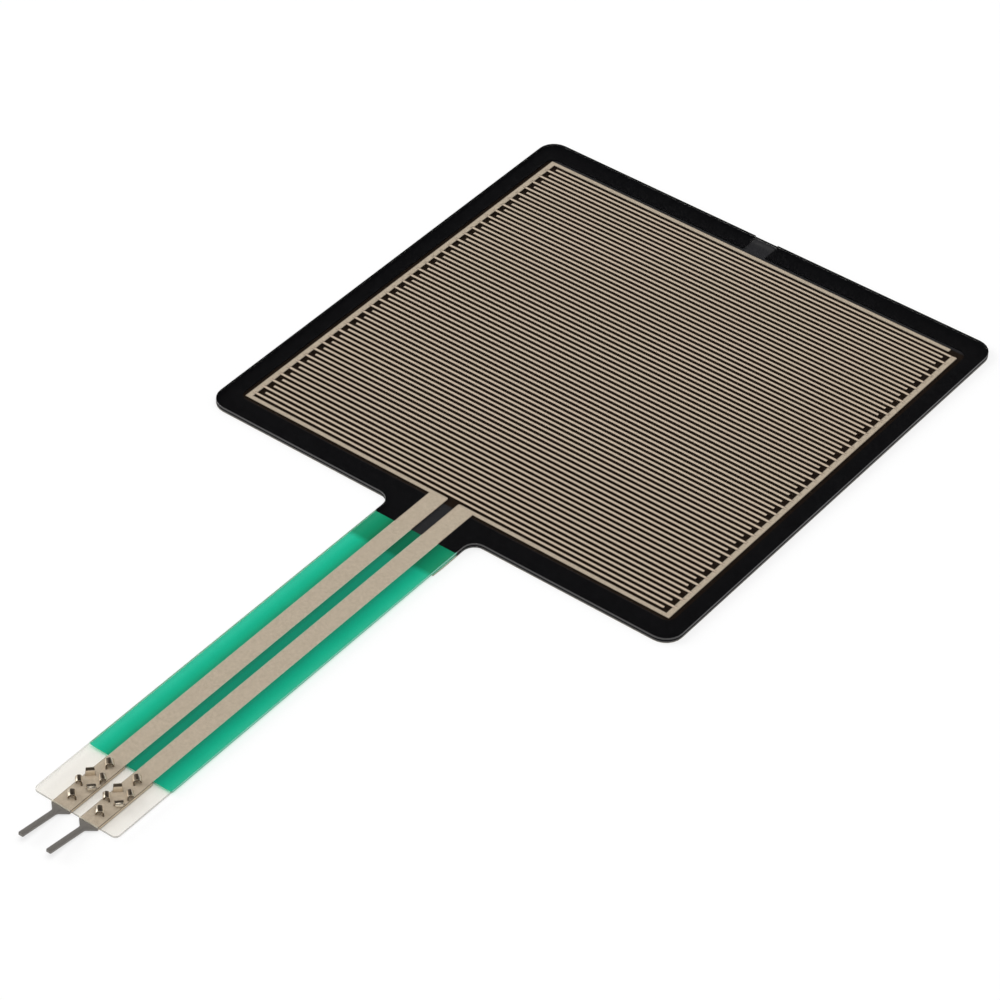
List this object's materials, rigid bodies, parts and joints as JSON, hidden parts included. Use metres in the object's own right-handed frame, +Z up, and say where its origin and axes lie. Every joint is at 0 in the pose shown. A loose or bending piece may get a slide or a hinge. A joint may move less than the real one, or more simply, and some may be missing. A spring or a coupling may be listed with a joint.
{
  "type": "force sensing resistor",
  "caption": "Flat square force sensing resistor with a printed silver comb grid, a thin black border and a green tail that ends in two crimped solder pins.",
  "frame": {"origin": "centre of the square pad on its flat back face", "axes": "+Z up out of the sensing face, +Y from the tail towards the pad's far edge, +X to the right seen from above with the tail towards the viewer"},
  "size_m": [0.0436, 0.0871, 0.0009],
  "materials": {
    "mounting_adhesive": "thin translucent adhesive, satin",
    "clear_film": "clear polyester film, glossy",
    "sensing_ink": "matt carbon ink",
    "spacer_adhesive": "black adhesive, satin",
    "silver_ink": "printed silver ink, fine grain",
    "green_ink": "green insulating ink seen through clear film",
    "tinned_contact": "tin plated strip, slightly dull"
  },
  "bodies": {
    "root": {"mounting_adhesive": "mounting_adhesive", "lower_film": "clear_film", "sensing_ink": "sensing_ink", "spacer_left": "spacer_adhesive", "spacer_right": "spacer_adhesive", "electrode_left": "silver_ink", "electrode_right": "silver_ink", "green_ink": "green_ink", "top_film": "clear_film", "contact_left": "tinned_contact", "contact_right": "tinned_contact"}
  },
  "joints": []
}
